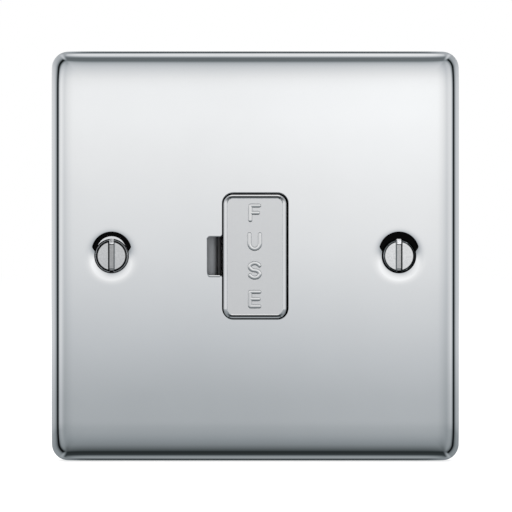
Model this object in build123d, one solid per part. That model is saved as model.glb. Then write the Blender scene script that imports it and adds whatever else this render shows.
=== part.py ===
from build123d import *
from math import cos, hypot, radians, sin, sqrt
import os

os.makedirs("parts", exist_ok=True)

# Fused spur unit, unswitched, single gang. Millimetres.
# X runs right, Y into the wall, Z up. The wall plane is Y = 0.
# The origin lies midway between the two fixing screws.

# How far cuts run past a surface, and how far joined bodies run into each other
cut_past = 1.0
merge = 0.2

# Front plate
plate_width = 86.0
plate_height = 86.4
plate_projection = 6.0
sheet = 0.9
plate_corner_radius = 3.4
rim_radius = 3.1

# Screw wells drawn into the plate
fixing_centres = 60.3
well_radius = 4.25
well_rise = 0.6
well_roll_width = 1.75
well_roll_depth = 0.5
shank_hole_radius = 2.45

# Fixing screws
head_radius = 3.6
head_height = 2.35
head_bevel_width = 0.28
head_bevel_depth = 0.152
head_edge_width = 0.15
head_edge_depth = 0.16
head_draft_width = 0.15
head_draft_depth = 0.55
head_proud = 0.15
slot_width = 0.85
slot_depth = 0.5
slot_bevel = 0.3
slot_bevel_depth = 0.2
slot_ramp = 1.0
slot_ramp_depth = 0.7
neck_radius = 1.5
thread_radius = 1.75
thread_lead = 0.5
screw_reach = 21.2
screw_point = 0.6

# Cartridge fuse
fuse_length = 25.4
cap_radius = 3.175
cap_length = 6.0
cap_wall = 0.35
cap_bevel = 0.25
cap_fit = 0.02
barrel_radius = 2.8

# Aperture for the fuse carrier
aperture_width = 13.85
fuse_pass = 1.05
aperture_corner = 2.3
aperture_edge = 0.15
notch_width = 3.2
notch_height = 8.7
notch_corner = 0.9
notch_mouth = 0.5

# Fuse carrier
left_gap = 0.2
right_gap = 0.35
end_gap = 0.2
carrier_drop = 0.1
carrier_face = 1.6
carrier_proud = 0.4
carrier_bevel_width = 0.4
carrier_bevel_depth = 0.158
carrier_edge_width = 0.25
carrier_edge_depth = 0.225
carrier_draft_width = 0.1
carrier_draft_depth = 0.6
carrier_corner = 2.0
cradle_wall = 1.0
cradle_fit = 0.05
cradle_length = 10.0
cradle_mouth = 60.0
stalk_width = 4.0
fuse_offset = 0.8
lip_thickness = 1.0
lip_length = 6.0
lip_depth = 1.8
lip_inset = 0.6
lip_from_notch = 0.6
relief_rise = 0.6
relief_run = 1.4

# Hinge of the carrier
pin_radius = 0.6
pin_fit = 0.05
knuckle_radius = 1.05
knuckle_play = 0.15
bearing_wall = 0.4
bearing_depth = 2.0
turning_clearance = 0.08

# Carrier frame
seat_gap = 0.05
flange_thickness = 2.0
window_end_gap = 0.1
window_side_gap = 0.45
skirt_wall = 1.2
skirt_gap = 0.3
stop_gap = 0.1
stop_margin = 0.1
stop_width = 1.0
screen_reach = 2.4
screen_gap = 0.15
ledge_width = 1.8
ledge_step = 0.35
ledge_fall = 0.75
ledge_depth = 2.6
ledge_round = 1.2
ledge_clear = 0.15
ledge_foot = 0.5

# Brass strip work
strip = 0.8
strip_width = 5.2
strap_width = 4.2
strap_margin = 0.6
contact_gap = 0.06
contact_metal = 0.6
contact_stem = 2.2
contact_height = 5.0
contact_wrap = 150.0

# Terminals
terminal_width = 7.5
terminal_depth = 8.7
terminal_length = 11.0
terminal_chamfer = 0.5
row_gap = 2.5
wire_radius = 2.1
wire_floor = 1.8
spigot_radius = 1.3
spigot_head = 1.9
spigot_head_height = 0.5
clamp_radius = 1.75
clamp_fit = 0.05
clamp_head_radius = 2.9
clamp_head_height = 1.8
clamp_standoff = 0.5
clamp_backoff = 1.0
clamp_slot = 0.9
clamp_slot_depth = 0.8
clamp_head_bevel = 0.4

# Terminal housing
pocket_clear = 0.3
barrier = 8.4
housing_wall = 2.0
bank_inner_wall = 1.8
floor_thickness = 1.5
screw_recess = 2.5
housing_corner = 2.2
housing_edge = 0.8
wire_notch_margin = 0.6
cavity_corner = 1.0
pad_margin = 0.7

# Bosses on the plate and the screws that hold the housing
boss_radius = 2.5
boss_bore_fit = 0.05
boss_clear = 0.2
boss_from_row = 2.0
housing_screw_radius = 1.5
housing_screw_engage = 5.0
housing_head_radius = 2.6
housing_head_height = 1.9
housing_head_bevel = 0.7
counterbore_clear = 0.3
cross_width = 0.8
cross_arm = 1.7
cross_depth = 0.9

# Depths along Y
face_y = -plate_projection
plate_back_y = face_y + sheet
frame_front_y = plate_back_y + seat_gap
frame_back_y = frame_front_y + flange_thickness
carrier_back_y = face_y + carrier_face
fuse_y = carrier_back_y + cradle_wall + cradle_fit + barrel_radius
contact_outer = cap_radius + contact_gap + contact_metal
strip_front_y = fuse_y + contact_outer + contact_stem
floor_front_y = strip_front_y + strip
floor_back_y = floor_front_y + floor_thickness
terminal_back_y = floor_front_y + terminal_depth
wire_y = floor_front_y + wire_floor + wire_radius
housing_back_y = terminal_back_y + screw_recess
skirt_end_y = strip_front_y - skirt_gap
head_front_y = face_y - head_proud
seat_y = head_front_y + head_height

# The bend of the rim is limited by the corner it runs round
rim_bend = min(rim_radius, plate_corner_radius - 0.1, plate_projection - 0.5)

# Carrier outline and the aperture round it
aperture_height = fuse_length + fuse_pass
carrier_left = -aperture_width / 2 + left_gap
carrier_right = aperture_width / 2 - right_gap
carrier_width = carrier_right - carrier_left
carrier_x = (carrier_left + carrier_right) / 2
carrier_height = aperture_height - 2 * end_gap
fuse_x = -fuse_offset

# Edge of the carrier from its face to its side: bevel, shoulder and draft
carrier_front_y = face_y - carrier_proud
bevel_y = carrier_front_y + carrier_bevel_depth
shoulder_y = bevel_y + carrier_edge_depth
draft_y = shoulder_y + carrier_draft_depth
shoulder_inset = carrier_draft_width
bevel_inset = shoulder_inset + carrier_edge_width
face_inset = bevel_inset + carrier_bevel_width

# The hinge is set in from the carrier's edge so far that each corner of that edge
# turns in past the back edge of the aperture
pivot_y = frame_front_y + bearing_wall + pin_radius + pin_fit
turning_slack = right_gap - turning_clearance
aperture_reach = (pivot_y - plate_back_y) ** 2 + turning_slack ** 2
shoulder_rise = (pivot_y - shoulder_y) ** 2 + shoulder_inset ** 2 - aperture_reach
bevel_rise = (pivot_y - bevel_y) ** 2 + bevel_inset ** 2 - aperture_reach
face_rise = (pivot_y - carrier_front_y) ** 2 + face_inset ** 2 - aperture_reach
hinge_inset = max(
    shoulder_rise / (2 * (turning_slack + shoulder_inset)),
    bevel_rise / (2 * (turning_slack + bevel_inset)),
    face_rise / (2 * (turning_slack + face_inset)),
)
pivot_x = carrier_right - hinge_inset
corner_sweep = max(
    hypot(hinge_inset - shoulder_inset, pivot_y - shoulder_y),
    hypot(hinge_inset - bevel_inset, pivot_y - bevel_y),
    hypot(hinge_inset - face_inset, pivot_y - carrier_front_y),
)

# Window of the frame, open to the swing of the carrier
window_left = -aperture_width / 2 - window_side_gap
window_right = pivot_x + corner_sweep + window_side_gap
window_half = carrier_height / 2 + carrier_drop + window_end_gap
skirt_left = window_left - skirt_wall
skirt_right = window_right + skirt_wall
skirt_half = window_half + bearing_depth + skirt_wall / 2

# Terminal rows and the housing round them
terminal_pitch = terminal_width + 2 * pocket_clear + barrier
row_z = skirt_half + spigot_head + row_gap
housing_width = 2 * (terminal_pitch + terminal_width / 2 + pocket_clear + housing_wall)
bank_inner = row_z - terminal_length / 2 - pocket_clear - bank_inner_wall
housing_half = row_z + terminal_length / 2 + pocket_clear + housing_wall
housing_height = 2 * housing_half
boss_x = terminal_pitch / 2
boss_z = row_z + boss_from_row
contact_z = fuse_length / 2 - cap_length / 2

# Angle of the way out that a fuse cap takes as the carrier starts to turn
exit_x = -(fuse_y - pivot_y)
exit_y = fuse_x - pivot_x
exit_length = hypot(exit_x, exit_y)

sides = (-1, 1)
columns = (-terminal_pitch, 0, terminal_pitch)


def slab(outline, y_front, y_back):
    """Solid with an outline drawn in front view, between two depths."""
    return extrude(Plane.XZ.offset(-y_back) * outline, amount=y_back - y_front)


def column(outline, z_low, z_high):
    """Solid with an outline drawn in plan, between two heights."""
    return extrude(Plane.XY.offset(z_low) * outline, amount=z_high - z_low)


def brick(x_range, y_range, z_range):
    """Square-edged block between pairs of limits."""
    size = [b - a for a, b in (x_range, y_range, z_range)]
    middle = [(a + b) / 2 for a, b in (x_range, y_range, z_range)]
    return Pos(*middle) * Box(*size)


def turned(*edges):
    """Solid of revolution about Y from a closed profile of radius and depth."""
    profile = edges[0]
    for edge in edges[1:]:
        profile = profile + edge
    return revolve(make_face(profile), axis=Axis.Y)


def pan(width, height, corner, bend, y_front, y_back):
    """Block with rounded plan corners and a rounded front rim."""
    body = slab(RectangleRounded(width, height, corner), y_front, y_back)
    return fillet(body.faces().sort_by(Axis.Y)[0].edges(), bend)


def well_shell():
    """Metal of one drawn screw well, seen from its back."""
    roll = well_radius + well_roll_width
    wall = well_radius + sheet
    return turned(
        Polyline(
            (0, face_y),
            (roll, face_y),
            (roll, plate_back_y),
            (wall, plate_back_y + well_roll_depth),
            (wall, seat_y + sheet),
            (0, seat_y + sheet),
            close=True,
        )
    )


def well_hollow():
    """Room in front of one drawn screw well, with its rolled edge."""
    roll = well_radius + well_roll_width
    lip_y = face_y + well_roll_depth
    edge = EllipticalCenterArc((roll, lip_y), well_roll_width, well_roll_depth, 180, arc_size=90)
    return turned(
        edge,
        Line((roll, face_y), (roll, face_y - cut_past)),
        Line((roll, face_y - cut_past), (0, face_y - cut_past)),
        Line((0, face_y - cut_past), (0, seat_y)),
        Line((0, seat_y), (well_radius, seat_y)),
        Line((well_radius, seat_y), (well_radius, lip_y)),
    )


def aperture_outline():
    """Opening for the carrier with the tool notch on its left side."""
    opening = RectangleRounded(aperture_width, aperture_height, aperture_corner)
    reach = notch_width + notch_corner + cut_past
    middle = -aperture_width / 2 - notch_width + reach / 2
    notch = Pos(middle, 0) * RectangleRounded(reach, notch_height, notch_corner)
    outline = opening + notch
    inner = outline.vertices().filter_by(
        lambda v: abs(v.X + aperture_width / 2) < 0.01 and abs(abs(v.Y) - notch_height / 2) < 0.01
    )
    return fillet(inner, notch_mouth)


def front_plate():
    outer = pan(plate_width, plate_height, plate_corner_radius, rim_bend, face_y, 0)
    inner = pan(
        plate_width - 2 * sheet,
        plate_height - 2 * sheet,
        plate_corner_radius - sheet,
        rim_bend - sheet,
        plate_back_y,
        cut_past,
    )
    plate = outer - inner
    for side in sides:
        place = Pos(side * fixing_centres / 2, 0, well_rise)
        plate += place * well_shell()
        plate -= place * well_hollow()
        hole = Pos(side * fixing_centres / 2, well_rise) * Circle(shank_hole_radius)
        plate -= slab(hole, face_y, 0)
    plate -= slab(aperture_outline(), face_y - cut_past, 0)
    face = plate.faces().filter_by(Axis.Y).sort_by(Axis.Y)[0]
    rolled = face.edges().filter_by(
        lambda e: abs(e.center().X) < aperture_width and abs(e.center().Z) < aperture_height
    )
    return fillet(rolled, aperture_edge)


def plate_bosses():
    """Four tapped standoffs welded to the back of the plate."""
    bosses = Part()
    for x in sides:
        for z in sides:
            centre = Pos(x * boss_x, z * boss_z)
            boss = slab(centre * Circle(boss_radius), plate_back_y, strip_front_y)
            bore = centre * Circle(housing_screw_radius + boss_bore_fit)
            depth = housing_screw_engage + cut_past
            bosses += boss - slab(bore, strip_front_y - depth, strip_front_y)
    return bosses


def screw_slot():
    """Room of the head's slot, with bevelled sides and ends that ramp down."""
    floor_y = head_front_y + slot_depth
    top_y = head_front_y - cut_past
    straight = head_radius - slot_ramp
    end = head_radius + cut_past
    far_y = floor_y + slot_ramp_depth
    side_view = make_face(
        Polyline(
            (-straight, floor_y),
            (straight, floor_y),
            (head_radius, far_y),
            (end, far_y),
            (end, top_y),
            (-end, top_y),
            (-end, far_y),
            (-head_radius, far_y),
            close=True,
        )
    )
    half = slot_width / 2
    side_plane = Plane(origin=(-half, 0, 0), x_dir=(0, 0, -1), z_dir=(1, 0, 0))
    groove = extrude(side_plane * side_view, amount=slot_width)
    spread = slot_bevel * (head_front_y + slot_bevel_depth - top_y) / slot_bevel_depth
    bevels = make_face(
        Polyline(
            (-half, head_front_y + slot_bevel_depth),
            (half, head_front_y + slot_bevel_depth),
            (half + spread, top_y),
            (-half - spread, top_y),
            close=True,
        )
    )
    return groove + column(bevels, -end, end)


def fixing_screw():
    edge_radius = head_radius - head_draft_width
    bevel_radius = edge_radius - head_edge_width
    flat = bevel_radius - head_bevel_width
    bevel_y = head_front_y + head_bevel_depth
    edge_y = bevel_y + head_edge_depth
    tip = screw_reach
    screw = turned(
        Polyline(
            (0, head_front_y),
            (flat, head_front_y),
            (bevel_radius, bevel_y),
            (edge_radius, edge_y),
            (head_radius, edge_y + head_draft_depth),
            (head_radius, seat_y),
            (neck_radius, seat_y),
            (neck_radius, -thread_lead),
            (thread_radius, -thread_lead),
            (thread_radius, tip - screw_point),
            (thread_radius - screw_point, tip),
            (0, tip),
            (0, head_front_y),
        ),
    )
    return screw - screw_slot()


def fixing_screws():
    screws = Part()
    for side in sides:
        screws += Pos(side * fixing_centres / 2, 0, 0) * fixing_screw()
    return screws


def cradle():
    """Spring clip that holds the fuse by its barrel, open to the rear."""
    inner = barrel_radius + cradle_fit
    outer = inner + cradle_wall
    reach = 2 * outer
    lean = radians(cradle_mouth)
    mouth = make_face(
        Polyline(
            (0, 0),
            (reach * sin(lean), reach * cos(lean)),
            (0, reach),
            (-reach * sin(lean), reach * cos(lean)),
            close=True,
        )
    )
    ring = Circle(outer) - Circle(inner) - mouth
    half = cradle_length / 2
    clip = column(Pos(fuse_x, fuse_y) * ring, -half, half)
    stalk = brick(
        (fuse_x - stalk_width / 2, fuse_x + stalk_width / 2),
        (carrier_back_y - merge, fuse_y),
        (-half, half),
    )
    bed = column(Pos(fuse_x, fuse_y) * Circle(inner + cradle_wall / 2), -half, half)
    return clip + (stalk - bed)


def carrier_outline(inset):
    """Outline of the carrier's face, set in all round. It hangs low by its play in the hinge."""
    size = (carrier_width - 2 * inset, carrier_height - 2 * inset)
    return Pos(carrier_x, -carrier_drop) * RectangleRounded(*size, carrier_corner - inset)


def fuse_carrier():
    steps = (
        (face_inset, carrier_front_y),
        (bevel_inset, bevel_y),
        (shoulder_inset, shoulder_y),
        (0, draft_y),
    )
    sections = [Plane.XZ.offset(-y) * carrier_outline(inset) for inset, y in steps]
    carrier = loft(sections, ruled=True)
    carrier += slab(carrier_outline(0), draft_y, carrier_back_y)
    pivot = Pos(pivot_x, pivot_y)
    knuckle = window_half - knuckle_play
    pin = window_half + bearing_depth - knuckle_play
    carrier += column(pivot * Circle(knuckle_radius), -knuckle, knuckle)
    carrier += column(pivot * Circle(pin_radius), -pin, pin)
    carrier += cradle()
    lip_x = carrier_left + lip_inset
    for side in sides:
        middle = side * (notch_height / 2 + lip_from_notch + lip_length / 2)
        carrier += brick(
            (lip_x, lip_x + lip_thickness),
            (carrier_back_y - merge, carrier_back_y + lip_depth),
            (middle - lip_length / 2, middle + lip_length / 2),
        )
    relief = make_face(
        Polyline(
            (carrier_left, carrier_back_y - relief_rise),
            (carrier_left + relief_run, carrier_back_y),
            (carrier_left + relief_run, carrier_back_y + cut_past),
            (carrier_left - cut_past, carrier_back_y + cut_past),
            (carrier_left - cut_past, carrier_back_y - relief_rise),
            close=True,
        )
    )
    return carrier - column(relief, -notch_height / 2, notch_height / 2)


def fuse_barrel():
    half = fuse_length / 2 - cap_wall - cap_fit
    return column(Pos(fuse_x, fuse_y) * Circle(barrel_radius), -half, half)


def fuse_cap(side):
    """End cap of the cartridge fuse, a cup over the barrel."""
    end = fuse_length / 2
    centre = Pos(fuse_x, fuse_y)
    cup = column(centre * Circle(cap_radius), end - cap_length, end)
    cup = chamfer(cup.faces().sort_by(Axis.Z)[-1].edges(), cap_bevel)
    cup -= column(centre * Circle(barrel_radius + cap_fit), 0, end - cap_wall)
    return cup if side > 0 else mirror(cup, about=Plane.XY)


def carrier_frame():
    """Moulding behind the plate with the hinge bearings and the fuse chamber."""
    outline = RectangleRounded(housing_width, housing_height, housing_corner)
    frame = slab(outline, frame_front_y, frame_back_y)
    frame += brick((skirt_left, skirt_right), (frame_front_y, skirt_end_y), (-skirt_half, skirt_half))
    frame -= brick(
        (window_left, window_right),
        (frame_front_y - cut_past, skirt_end_y + cut_past),
        (-window_half, window_half),
    )
    screen_y = pivot_y + corner_sweep + screen_gap
    frame += brick(
        (window_right - screen_reach, window_right + merge),
        (screen_y, screen_y + skirt_wall),
        (-window_half - merge, window_half + merge),
    )
    stop_y = carrier_back_y + stop_gap
    for side in sides:
        stop_low = notch_height / 2 + ledge_clear + stop_margin
        low, high = sorted((side * stop_low, side * (window_half + merge)))
        stop_x = (window_left - merge, window_left + stop_width)
        frame += brick(stop_x, (stop_y, frame_back_y + cut_past), (low, high))
        low, high = sorted((side * (window_half - merge), side * (window_half + bearing_depth)))
        frame -= column(Pos(pivot_x, pivot_y) * Circle(pin_radius + pin_fit), low, high)
        for x in sides:
            hole = Pos(x * boss_x, side * boss_z) * Circle(boss_radius + boss_clear)
            frame -= slab(hole, frame_front_y - cut_past, frame_back_y + cut_past)
    start = -aperture_width / 2 - notch_width - ledge_clear
    ledge = make_face(
        Polyline(
            (start, frame_front_y - cut_past),
            (start, frame_front_y + ledge_step),
            (start + ledge_width, frame_front_y + ledge_fall),
            (window_left - ledge_foot, frame_front_y + ledge_depth),
            (window_left + merge, frame_front_y + ledge_depth),
            (window_left + merge, frame_front_y - cut_past),
            close=True,
        )
    )
    brow = ledge.vertices().filter_by(lambda v: abs(v.X - start - ledge_width) < 0.001)
    ledge = fillet(brow, ledge_round)
    half = notch_height / 2 + ledge_clear
    return frame - column(ledge, -half, half)


def terminal_housing():
    """Rear moulding with two banks of three terminal pockets."""
    outline = RectangleRounded(housing_width, housing_height, housing_corner)
    body = slab(outline, frame_back_y, housing_back_y)
    valley = Rectangle(housing_width + 2 * cut_past, 2 * bank_inner)
    body -= slab(valley, floor_back_y, housing_back_y + cut_past)
    rear = body.faces().filter_by(Axis.Y).filter_by(lambda f: abs(f.center().Y - housing_back_y) < 0.01)
    body = fillet(rear.edges(), housing_edge)
    inside = (housing_width - 2 * housing_wall, housing_height - 2 * housing_wall)
    cavity = RectangleRounded(*inside, cavity_corner)
    body -= slab(cavity, frame_back_y - cut_past, floor_front_y)
    pocket = Rectangle(terminal_width + 2 * pocket_clear, terminal_length + 2 * pocket_clear)
    notch = 2 * (wire_radius + wire_notch_margin)
    for side in sides:
        for x in columns:
            body -= slab(Pos(x, side * row_z) * pocket, floor_front_y - cut_past, housing_back_y + cut_past)
            run = housing_half + cut_past - row_z
            entry = Pos(x, side * (row_z + run / 2)) * Rectangle(notch, run)
            body -= slab(entry, wire_y, housing_back_y + cut_past)
            round_end = Pos(x, wire_y) * Circle(notch / 2)
            low, high = sorted((side * row_z, side * (housing_half + cut_past)))
            body -= column(round_end, low, high)
        for x in sides:
            centre = Pos(x * boss_x, side * boss_z)
            if x < 0:
                body += slab(centre * Circle(boss_radius + pad_margin), strip_front_y, floor_front_y)
            hole = centre * Circle(housing_screw_radius + boss_bore_fit)
            body -= slab(hole, strip_front_y - cut_past, housing_back_y)
            bore = centre * Circle(housing_head_radius + counterbore_clear)
            body -= slab(bore, floor_back_y, housing_back_y + cut_past)
    return body


def terminal(x, side):
    """Brass terminal block with its wire bore, clamp hole and swaged spigot."""
    half = terminal_length / 2
    block = brick(
        (-terminal_width / 2, terminal_width / 2),
        (floor_front_y, terminal_back_y),
        (-half, half),
    )
    block = chamfer(block.edges().filter_by(Axis.Y), terminal_chamfer)
    block += slab(Circle(spigot_radius), strip_front_y, floor_front_y)
    block += slab(Circle(spigot_head), strip_front_y - spigot_head_height, strip_front_y)
    block -= column(Pos(0, wire_y) * Circle(wire_radius), -half - cut_past, half + cut_past)
    block -= slab(Circle(clamp_radius + clamp_fit), wire_y, terminal_back_y + cut_past)
    return Pos(x, 0, side * row_z) * block


def terminal_screw():
    """Slotted clamp screw, backed out of the wire bore."""
    seat = terminal_back_y + clamp_standoff
    top = seat + clamp_head_height
    tip = wire_y + sqrt(wire_radius ** 2 - clamp_radius ** 2) + clamp_backoff
    shank = slab(Circle(clamp_radius), tip, seat)
    head = slab(Circle(clamp_head_radius), seat, top)
    head = chamfer(head.faces().sort_by(Axis.Y)[-1].edges(), clamp_head_bevel)
    half = clamp_slot / 2
    span = clamp_head_radius + cut_past
    slot = brick((-span, span), (top - clamp_slot_depth, top + cut_past), (-half, half))
    return shank + (head - slot)


def terminal_screws():
    screws = Part()
    for side in sides:
        for x in columns:
            screws += Pos(x, 0, side * row_z) * terminal_screw()
    return screws


def line_contact(side):
    """Brass strip from a line terminal to the jaw for one fuse cap."""
    half = strip_width / 2
    high = contact_height / 2
    pad = Pos(-terminal_pitch, row_z) * Circle(half)
    run = row_z - contact_z + high
    leg = Pos(-terminal_pitch, row_z - run / 2) * Rectangle(strip_width, run)
    right = fuse_x + half
    arm_length = right + terminal_pitch + half
    arm = Pos(right - arm_length / 2, contact_z) * Rectangle(arm_length, contact_height)
    outline = pad + leg + arm
    contact = slab(outline, strip_front_y, floor_front_y)
    hole = Pos(-terminal_pitch, row_z) * Circle(spigot_radius)
    contact -= slab(hole, strip_front_y - cut_past, floor_front_y + cut_past)
    low = contact_z - high
    stem_front = fuse_y + contact_outer - contact_metal / 2
    contact += brick(
        (fuse_x - contact_metal / 2, fuse_x + contact_metal / 2),
        (stem_front, strip_front_y + strip / 2),
        (low, contact_z + high),
    )
    inner = cap_radius + contact_gap
    reach = 3 * contact_outer
    jaw = Circle(contact_outer) - Circle(inner)
    edge = radians(180 - contact_wrap / 2)
    ux, uy = exit_x / exit_length, exit_y / exit_length
    rays = []
    for turn in (edge, edge / 2, 0, -edge / 2, -edge):
        rays.append(
            (
                reach * (ux * cos(turn) - uy * sin(turn)),
                reach * (ux * sin(turn) + uy * cos(turn)),
            )
        )
    jaw -= make_face(Polyline((0, 0), *rays, close=True))
    contact += column(Pos(fuse_x, fuse_y) * jaw, low, contact_z + high)
    return contact if side > 0 else mirror(contact, about=Plane.XY)


def neutral_link():
    """Straight brass link between the two neutral terminals."""
    outline = Pos(terminal_pitch, 0) * SlotCenterToCenter(2 * row_z, strip_width, rotation=90)
    link = slab(outline, strip_front_y, floor_front_y)
    for side in sides:
        hole = Pos(terminal_pitch, side * row_z) * Circle(spigot_radius)
        link -= slab(hole, strip_front_y - cut_past, floor_front_y + cut_past)
    return link


def earth_strap():
    """Brass strap from both earth terminals to the plate's right-hand bosses."""
    outline = Pos(boss_x, 0) * Rectangle(strap_width, 2 * boss_z)
    for side in sides:
        outline += Pos(0, side * row_z) * Circle(strip_width / 2)
        outline += Pos(boss_x / 2, side * row_z) * Rectangle(boss_x, strip_width)
        outline += Pos(boss_x, side * boss_z) * Circle(boss_radius + strap_margin)
    strap = slab(outline, strip_front_y, floor_front_y)
    for side in sides:
        hole = Pos(0, side * row_z) * Circle(spigot_radius)
        hole += Pos(boss_x, side * boss_z) * Circle(housing_screw_radius + boss_bore_fit)
        strap -= slab(hole, strip_front_y - cut_past, floor_front_y + cut_past)
    return strap


def housing_screw():
    """Cross-head screw from the back of the housing into a boss."""
    top = floor_back_y + housing_head_height
    shank = slab(Circle(housing_screw_radius), strip_front_y - housing_screw_engage, floor_back_y)
    head = slab(Circle(housing_head_radius), floor_back_y, top)
    head = chamfer(head.faces().sort_by(Axis.Y)[-1].edges(), housing_head_bevel)
    half = cross_width / 2
    head -= brick((-cross_arm, cross_arm), (top - cross_depth, top + cut_past), (-half, half))
    head -= brick((-half, half), (top - cross_depth, top + cut_past), (-cross_arm, cross_arm))
    return shank + head


def housing_screws():
    screws = Part()
    for x in sides:
        for z in sides:
            screws += Pos(x * boss_x, 0, z * boss_z) * housing_screw()
    return screws


pieces = {
    "front_plate": front_plate(),
    "plate_bosses": plate_bosses(),
    "fixing_screws": fixing_screws(),
    "fuse_carrier": fuse_carrier(),
    "fuse_barrel": fuse_barrel(),
    "fuse_cap_upper": fuse_cap(1),
    "fuse_cap_lower": fuse_cap(-1),
    "carrier_frame": carrier_frame(),
    "terminal_housing": terminal_housing(),
    "terminal_line_in": terminal(-terminal_pitch, 1),
    "terminal_line_out": terminal(-terminal_pitch, -1),
    "terminal_earth_upper": terminal(0, 1),
    "terminal_earth_lower": terminal(0, -1),
    "terminal_neutral_in": terminal(terminal_pitch, 1),
    "terminal_neutral_out": terminal(terminal_pitch, -1),
    "terminal_screws": terminal_screws(),
    "line_in_contact": line_contact(1),
    "line_out_contact": line_contact(-1),
    "neutral_link": neutral_link(),
    "earth_strap": earth_strap(),
    "housing_screws": housing_screws(),
}

for name, piece in pieces.items():
    export_step(piece, f"parts/{name}.step")
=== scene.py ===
import math

import bpy
import numpy as np
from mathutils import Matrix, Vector, geometry


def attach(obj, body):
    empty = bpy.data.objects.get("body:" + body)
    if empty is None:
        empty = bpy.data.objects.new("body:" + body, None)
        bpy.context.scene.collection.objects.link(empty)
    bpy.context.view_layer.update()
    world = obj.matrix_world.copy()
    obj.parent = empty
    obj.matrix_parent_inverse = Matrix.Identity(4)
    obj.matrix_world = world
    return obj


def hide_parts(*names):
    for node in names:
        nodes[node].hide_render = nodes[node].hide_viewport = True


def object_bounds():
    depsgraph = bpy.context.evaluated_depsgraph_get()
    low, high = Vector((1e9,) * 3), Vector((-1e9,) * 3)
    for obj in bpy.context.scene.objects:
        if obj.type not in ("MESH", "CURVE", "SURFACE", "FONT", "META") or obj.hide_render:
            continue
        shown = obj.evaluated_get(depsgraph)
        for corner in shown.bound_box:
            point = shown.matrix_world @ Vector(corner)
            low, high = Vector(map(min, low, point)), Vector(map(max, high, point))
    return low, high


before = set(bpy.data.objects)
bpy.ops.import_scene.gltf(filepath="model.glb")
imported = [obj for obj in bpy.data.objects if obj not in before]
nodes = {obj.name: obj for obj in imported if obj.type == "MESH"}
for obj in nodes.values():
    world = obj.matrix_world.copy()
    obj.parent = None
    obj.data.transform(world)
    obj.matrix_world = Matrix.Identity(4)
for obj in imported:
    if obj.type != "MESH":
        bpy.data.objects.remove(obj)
cad_low, cad_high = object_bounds()

MM = 0.001


def mm(*lengths):
    """Lengths given in millimetres, as metres."""
    return tuple(length * MM for length in lengths)


# Front plate, millimetres. Insets are distances from its outline, where the sheet has rings of points
HALF_X = 43.0
HALF_Z = 43.2
CORNER = 3.4
FACE_Y = -6.0
SHEET = 0.9
TAIL_WIDTH = 9.0
TAIL_DEPTH = 1.6
EDGE_WIDTH = 2.0
EDGE_DEPTH = 0.9
BACK_BEND = 2.2
RIM_BREAK_Y = -1.6
FOOT = 0.12
PER_SIDE = 44
PER_CORNER = 14
FRONT_INSETS = [0, 0.012, 0.04, 0.09, 0.16, 0.25, 0.36, 0.5, 0.66, 0.85, 1.06, 1.3, 1.57, 1.86, 2.2]
FRONT_INSETS += [2.6, 3.1, 3.7, 4.4, 5.2, 6.1, 7.2, 8.0, 8.7]
BACK_INSETS = [0, 0.03, 0.1, 0.22, 0.4, 0.65, 1.0, 1.5, 2.2, 3.2, 4.5, 5.6, 6.7]
LEFT = -1
RIGHT = 1

# Screw wells: a shallow dish round the screw, and a hole that fits the head but for a gap above it
WELL_X = 30.15
WELL_RISE = 0.9
WELL_R = 4.23
WELL_POINTS = 144
THROAT_R = 3.64
GAP_START = 13.0
GAP_FULL = 26.0
DISH_R = 6.6
DISH_MARGIN = 0.5
DISH_WIDTH = 2.94
DISH_DEPTH = 0.235
DISH_POWER = 3.75
DISH_STEEPEST = 1.0
DISH_SHARES = [0, 0.015, 0.04, 0.08, 0.12, 0.17, 0.23, 0.29, 0.36, 0.43, 0.51, 0.6, 0.7, 0.82, 1.0]
SEAT_Y = -3.8
HOLE_R = 2.45
CUP_RISE = 0.6
CUP_R = 5.15
CUP_BEND = 0.5
CUP_STEPS = 4
CUP_POINTS = 96

# Shoulder over the left screw. Its angles are in degrees round the screw
COLLAR_START = 40
COLLAR_SWEEP = 100
COLLAR_STEPS = 48
COLLAR_CLEAR = 0.02
COLLAR_LEAST = 0.001
COLLAR_RISE = 1.06
COLLAR_R = 3.07
COLLAR_Y = -6.12
COLLAR_SLOPE = 0.75
COLLAR_ARCH = 0.6
COLLAR_SHELF = 0.05

# Aperture with the tool notch. Each step of its bevel has a share of the width, and a depth for that width
APERTURE_X = 6.925
APERTURE_Z = 13.225
APERTURE_R = 2.3
NOTCH = 3.2
NOTCH_Z = 4.05
NOTCH_R = 0.7
MOUTH_R = 0.5
APERTURE_EDGE = 0.15
NOTCH_EDGE = 0.4
NOTCH_EDGE_START = 0.2
NOTCH_EDGE_RUN = 0.3
BEVEL = ((0.5, 0.225), (0, 0.675))

# Thread of the fixing screws
THREAD_R = 1.75
THREAD_DEPTH = 0.35
PITCH = 0.6
RINGS_PER_PITCH = 8
SHANK_CLOSE = 0.01

# Carrier: its face lies a step below its edge
CARRIER_Y = -6.4
CARRIER_X = -0.075
CARRIER_Z = -0.1
CARRIER_HALF_X = 5.9
CARRIER_HALF_Z = 12.275
CARRIER_R = 1.25
CARRIER_STEP = 0.135
CARRIER_STEP_WIDTH = 0.15
FACE_CLOSE = 0.001

# The plain word on the carrier, in raised round strokes
LETTER_X = -0.13
LETTER_PITCH = 6.03
LETTER_H = 1.52
F_HALF = 0.92
F_ARM = 0.75
U_HALF = 1.1
S_HALF = 1.04
E_HALF = 0.97
E_ARM = 0.85
STROKE = 0.44
STROKE_RISE = 0.134
STROKE_SPACING = 0.06
STROKE_EASING = 4
STROKE_SIDES = 20
STROKE_CAPS = 6
CAP_OPEN = 0.4

JOIN_WITHIN = 0.000001
NO_NORMAL = (0, 0, 0)
FORWARD = (0, -1, 0)
BACKWARD = (0, 1, 0)


# Meshes


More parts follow.
